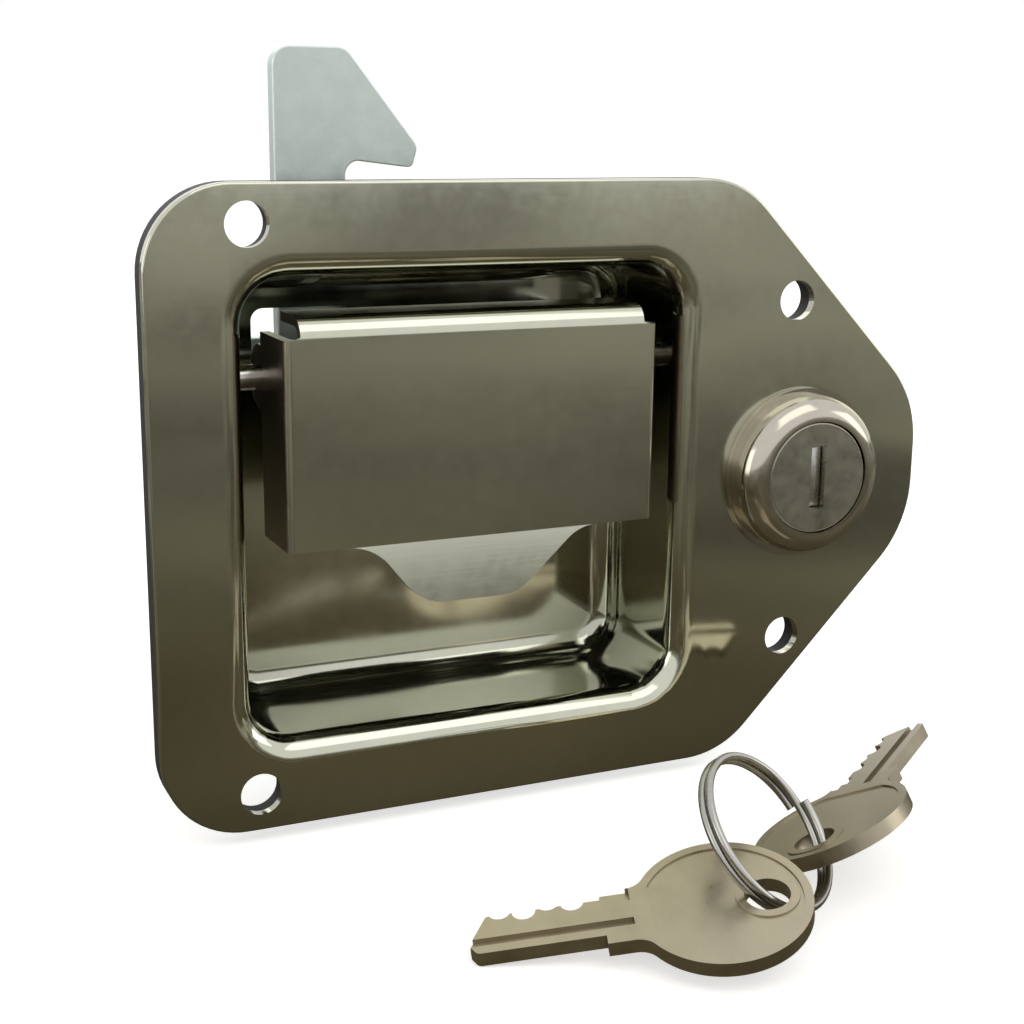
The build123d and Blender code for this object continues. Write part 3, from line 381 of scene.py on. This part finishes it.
# the sides' rougher shine is their finish; their darker, browner colour is painted shade
paddle_side_dull_and_shaded = metal("paddle_side_dull_and_shaded", (0.40, 0.335, 0.262), 0.34, mottle=0.12, lines=0.000002,
                    lines_along=(1, 1, 0.05), smudge=0.1)


def tight_bend(at):
    """Draws the rolled side corner in to the small radius of a pressed bend."""
    side = 1 if at.x > 0 else -1
    dx, dy = abs(at.x) - (FRONT_HALF - SOLID_BEND), at.y - (FRONT_Y + SOLID_BEND)
    if dx < -HAIR or dy > HAIR or abs(math.hypot(dx, dy) - SOLID_BEND) > ON_BEND:
        return at[:]
    x, y = dx / SOLID_BEND * PRESSED_BEND, dy / SOLID_BEND * PRESSED_BEND
    return side * (FRONT_HALF - PRESSED_BEND + x), FRONT_Y + PRESSED_BEND + y, at.z


paddle = smoothed("paddle", paddle_sheet, reshape=tight_bend)
# faces turned sideways take the darker side colour, which is painted shade
paddle.data.materials.append(paddle_side_dull_and_shaded)
for face in paddle.data.polygons:
    if abs(face.normal.x) > SIDEWAYS:
        face.material_index = 1

# --- hinge pin, clip and release arm --------------------------------------------------
# Bright ground pin through the recess walls with its spring clip, and the zinc plated lever
# that is welded inside the paddle and reaches through the window in the recess.
bright_steel = metal("bright_steel", (0.58, 0.575, 0.55), 0.2, lines=0.000002,
                     lines_along=(0.03, 1, 1), smudge=0.1)
zinc = metal("dull_zinc", (0.72, 0.80, 0.765), 0.40, mottle=0.10, grain=0.000012, grain_scale=1600,
             lines=0.000003, lines_along=(1, 1, 0.05), lines_scale=700, smudge=0.12, smudge_scale=60)
smoothed("hinge_pin", bright_steel)
dress("pin_clip", bright_steel)
dress("release_arm", zinc)

# --- springs and split ring -----------------------------------------------------------
# Drawn spring wire, wound on a mandrel: a torsion spring round the hinge pin, an extension
# spring with a loop on each of two pegs, and two turns of wire that hold the keys.
mm = 0.001
WOUND = 1.06                    # pitch of a close winding over its wire
HINGE_PIN = Vector((0, 7.5, 19.4))
TORSION_WIRE, TORSION_R, TORSION_X, TORSION_TURNS = 1.2, 3.0, 4.0, 6
FRONT_LEG, BACK_LEG = (-3.7, 7.4), (18.8, 7.4)   # Y and Z of the legs' ends
PULL_WIRE, PULL_R, PULL_TURNS = 0.9, 2.0, 9
PULL_AXIS = (28.0, 27.7)        # X and Y
LOW_PEG, HIGH_PEG = -28.0, -12.0
LOOP_R, LOOP_TURN = 2.1, 340    # each end loop, and its degrees round the peg
LOW_START, HIGH_START = 110, -90
RING_WIRE, RING_R, RING_TURNS = 1.2, 11.7, 2
RING_CENTRE, RING_HEADING, RING_LEAN = (22.1, -55.8, -38.4), 34.3, -139.9
drawn_wire = metal("drawn_wire", (0.50, 0.49, 0.455), 0.24, mottle=0.12, grain=0.000006,
                   grain_scale=1800, smudge=0.1, smudge_scale=120)


def wire_tree():
    """Node tree that sweeps a round wire along the object's own curve."""
    tree = bpy.data.node_groups.new("wound_wire", "GeometryNodeTree")
    face = tree.interface
    face.new_socket("Path", in_out="INPUT", socket_type="NodeSocketGeometry")
    face.new_socket("Wire Radius", in_out="INPUT", socket_type="NodeSocketFloat")
    face.new_socket("Sides", in_out="INPUT", socket_type="NodeSocketInt")
    face.new_socket("Finish", in_out="INPUT", socket_type="NodeSocketMaterial")
    face.new_socket("Wire", in_out="OUTPUT", socket_type="NodeSocketGeometry")
    given = tree.nodes.new("NodeGroupInput").outputs
    result = tree.nodes.new("NodeGroupOutput")
    ring = add(tree, "GeometryNodeCurvePrimitiveCircle", Resolution=given["Sides"],
               Radius=given["Wire Radius"])
    swept = add(tree, "GeometryNodeCurveToMesh", Curve=given["Path"],
                Profile_Curve=ring.outputs["Curve"], Fill_Caps=True)
    soft = add(tree, "GeometryNodeSetShadeSmooth", Geometry=swept.outputs[0])
    real = add(tree, "GeometryNodeRealizeInstances", Geometry=soft.outputs[0])
    coat = add(tree, "GeometryNodeSetMaterial", Geometry=real.outputs[0], Material=given["Finish"])
    tree.links.new(coat.outputs[0], result.inputs[0])
    return tree


wound_wire = wire_tree()


def helix(radius, pitch, turns, per_turn=40):
    """Points of a winding that climbs along Z."""
    steps = int(turns * per_turn)
    for i in range(steps + 1):
        a = math.tau * turns * i / steps
        yield Vector((radius * math.cos(a), radius * math.sin(a), pitch * turns * i / steps))


def wire_piece(name, points, diameter, node, sides=14):
    """Sweeps wire along points and lets it stand for the CAD node."""
    path = bpy.data.curves.new(name, "CURVE")
    path.dimensions = "3D"
    line = path.splines.new("POLY")
    line.points.add(len(points) - 1)
    for point, at in zip(line.points, points):
        point.co = (*at, 1)
    piece = new_object(name + "_path", path)
    sweep = piece.modifiers.new("wire", "NODES")
    sweep.node_group = wound_wire
    chosen = {"Wire Radius": diameter / 2, "Sides": sides, "Finish": drawn_wire}
    for item in wound_wire.interface.items_tree:
        if item.in_out == "INPUT" and item.name in chosen:
            sweep[item.identifier] = chosen[item.name]
    bpy.context.view_layer.update()
    mesh = bpy.data.meshes.new_from_object(piece.evaluated_get(bpy.context.evaluated_depsgraph_get()))
    bpy.data.objects.remove(piece)
    mesh.name = name
    made = new_object(name, mesh)
    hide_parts(node)
    return made


winding = [Vector((p.z, p.y, -p.x)) + HINGE_PIN + Vector((TORSION_X, 0, 0))
           for p in helix(TORSION_R, TORSION_WIRE * WOUND, TORSION_TURNS)]
points = [Vector((winding[0].x, *FRONT_LEG)), *winding, Vector((winding[-1].x, *BACK_LEG))]
torsion = wire_piece("torsion_spring", [p * mm for p in points], TORSION_WIRE * mm, "paddle_spring")
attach(torsion, "paddle")


def peg_loop(peg, start, steps=36):
    """Wire round a peg, from one angle on, in the plane across the peg."""
    for i in range(steps + 1):
        a = math.radians(start + LOOP_TURN * i / steps)
        yield Vector((PULL_AXIS[0] + LOOP_R * math.cos(a), PULL_AXIS[1], peg + LOOP_R * math.sin(a)))


rise = PULL_WIRE * WOUND
first_turn = Vector((*PULL_AXIS, (LOW_PEG + HIGH_PEG - rise * PULL_TURNS) / 2))
points = list(peg_loop(LOW_PEG, LOW_START))
points += [p + first_turn for p in helix(PULL_R, rise, PULL_TURNS, per_turn=28)]
points += list(peg_loop(HIGH_PEG, HIGH_START))
pull = wire_piece("pull_spring", [p * mm for p in points], PULL_WIRE * mm, "hook_spring", sides=12)
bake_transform(pull)

ring_place = Matrix.Translation(RING_CENTRE) @ Matrix.Rotation(math.radians(RING_HEADING), 4, "Z")
ring_place = ring_place @ Matrix.Rotation(math.radians(90 - RING_LEAN), 4, "X")
step = RING_WIRE * WOUND
points = [ring_place @ (p - Vector((0, 0, step))) * mm for p in helix(RING_R, step, RING_TURNS, per_turn=90)]
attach(wire_piece("key_ring", points, RING_WIRE * mm, "split_ring", 20), "key_set")

# --- hook bolt and its studs ----------------------------------------------------------
# Stamped from steel sheet and dull zinc plated. It turns on a shouldered stud, a second stud
# guides it, and the spring pulls between a post on the recess and a peg in its tail.
for node in ("hook_bolt", "pivot_stud", "guide_stud", "spring_post", "tail_peg"):
    smoothed(node, zinc, sharp=30)
for node in ("pivot_spacer", "pivot_washer"):
    dress(node, zinc)

# --- lock -----------------------------------------------------------------------------
# Die-cast housing with a domed collar, nickel plated and polished, and a satin plug with
# brass wafers. The nut, washers, cam and screw behind the plate are zinc plated.
LOCK_X, PLUG_FACE = 0.0595, -0.0103
KEYWAY_WIDTH, KEYWAY_HEIGHT = 0.0028, 0.0106
MOUTH_PROUD, MOUTH_DEPTH = 0.0004, 0.0022   # the cut ahead of the plug's face and behind it
SHUTTER_SUNK = 0.0014           # leaf's edges behind the plug's face
SHUTTER_BULGE = 0.0006          # its middle comes forwards by this
SHUTTER_SKEW = 0.35             # moves the bulge to one side
SHUTTER_SHARE = (0.47, 0.49)    # half the leaf, as shares of the keyway's width and height
SHUTTER_SHEET = 0.00015
nickel = metal("polished_nickel", (0.57, 0.535, 0.455), 0.13, mottle=0.08, wave=0.00002, wave_scale=90,
               lines=0.000002, lines_along=(1, 0.05, 1), smudge=0.1, smudge_scale=80)
satin = metal("satin_nickel", (0.44, 0.43, 0.36), 0.30, mottle=0.08, lines=0.0000004,
              lines_along=(1, 1, 0.05), lines_scale=900, smudge=0.05, smudge_scale=120)
brass = metal("wafer_brass", (0.72, 0.54, 0.26), 0.3, mottle=0.15, smudge=0.1)
smoothed("lock_housing", nickel)


def block(name, low, high):
    """Closed box between two corners."""
    bm = bmesh.new()
    bmesh.ops.create_cube(bm, size=1)
    for v in bm.verts:
        v.co = [a + (b - a) * (c + 0.5) for a, b, c in zip(low, high, v.co)]
    mesh = bpy.data.meshes.new(name)
    bm.to_mesh(mesh)
    bm.free()
    return new_object(name, mesh)


# the keyway's mouth is a plain slot; its wards begin behind the shutter
mouth = block("keyway_mouth", (LOCK_X - KEYWAY_WIDTH / 2, PLUG_FACE - MOUTH_PROUD, -KEYWAY_HEIGHT / 2),
              (LOCK_X + KEYWAY_WIDTH / 2, PLUG_FACE + MOUTH_DEPTH, KEYWAY_HEIGHT / 2))
smoothed("lock_plug", satin, cut=mouth)
bpy.data.objects.remove(mouth)


def make_shutter(columns=10, rows=30):
    """Sprung dust shutter: a thin leaf bulging forwards inside the keyway's mouth."""
    points, faces = [], []
    for r in range(rows + 1):
        v = 2 * r / rows - 1
        for c in range(columns + 1):
            u = 2 * c / columns - 1
            bulge = SHUTTER_BULGE * (1 - v * v) * math.cos(math.pi * (u + SHUTTER_SKEW) / 3)
            points.append((LOCK_X + u * KEYWAY_WIDTH * SHUTTER_SHARE[0], PLUG_FACE + SHUTTER_SUNK - bulge,
                           v * KEYWAY_HEIGHT * SHUTTER_SHARE[1]))
    for r in range(rows):
        for c in range(columns):
            i = r * (columns + 1) + c
            faces.append((i, i + 1, i + columns + 2, i + columns + 1))
    mesh = bpy.data.meshes.new("dust_shutter")
    mesh.from_pydata(points, [], faces)
    mesh.shade_smooth()
    mesh.materials.append(bright_steel)
    leaf = new_object("dust_shutter", mesh)
    wall = leaf.modifiers.new("wall", "SOLIDIFY")
    wall.thickness, wall.offset = SHUTTER_SHEET, 0
    return leaf


shutter = make_shutter()
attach(shutter, "plug")
dress("lock_wafers", brass)
for node in ("lock_washer", "lock_nut", "lock_cam", "cam_washer"):
    dress(node, zinc)
smoothed("cam_screw", zinc)

# --- keys -----------------------------------------------------------------------------
# Stamped brass keys with a raised rim round head and hole, nickel plated. The faces are
# brushed, and their colour is darker in the hollows along the rims. The front key lies with
# its cuts upwards.
KEY_HOLE_AT, KEY_TURNS = (16.95, -64.76, -43.49), ((158.8, "Z"), (7.9, "Y"), (-13.9, "X"))
key_plate = metal("key_plating", (0.53, 0.472, 0.355), 0.31, mottle=0.12, grain=0.0000008,
                  grain_scale=1500, lines=0.0000004, lines_along=(0.06, 1, 1), lines_scale=900,
                  smudge=0.06, smudge_scale=110, hollow_darkening=(0.003, 0.6, 0.45))
key_place = Matrix.Translation(Vector(KEY_HOLE_AT) * mm)
for angle, axis in KEY_TURNS:
    key_place = key_place @ Matrix.Rotation(math.radians(angle), 4, axis)
# the solid has its cuts on the lower edge, so the key is mirrored about its length
turned_over = key_place @ Matrix.Diagonal((1, -1, 1, 1)) @ key_place.inverted()
smoothed("key_front", key_plate, reshape=lambda at: (turned_over @ at)[:], mirrored=True)
smoothed("key_rear", key_plate)

# --- size -----------------------------------------------------------------------------
# Boxes of the bare solids and of the dressed part.
low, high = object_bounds()
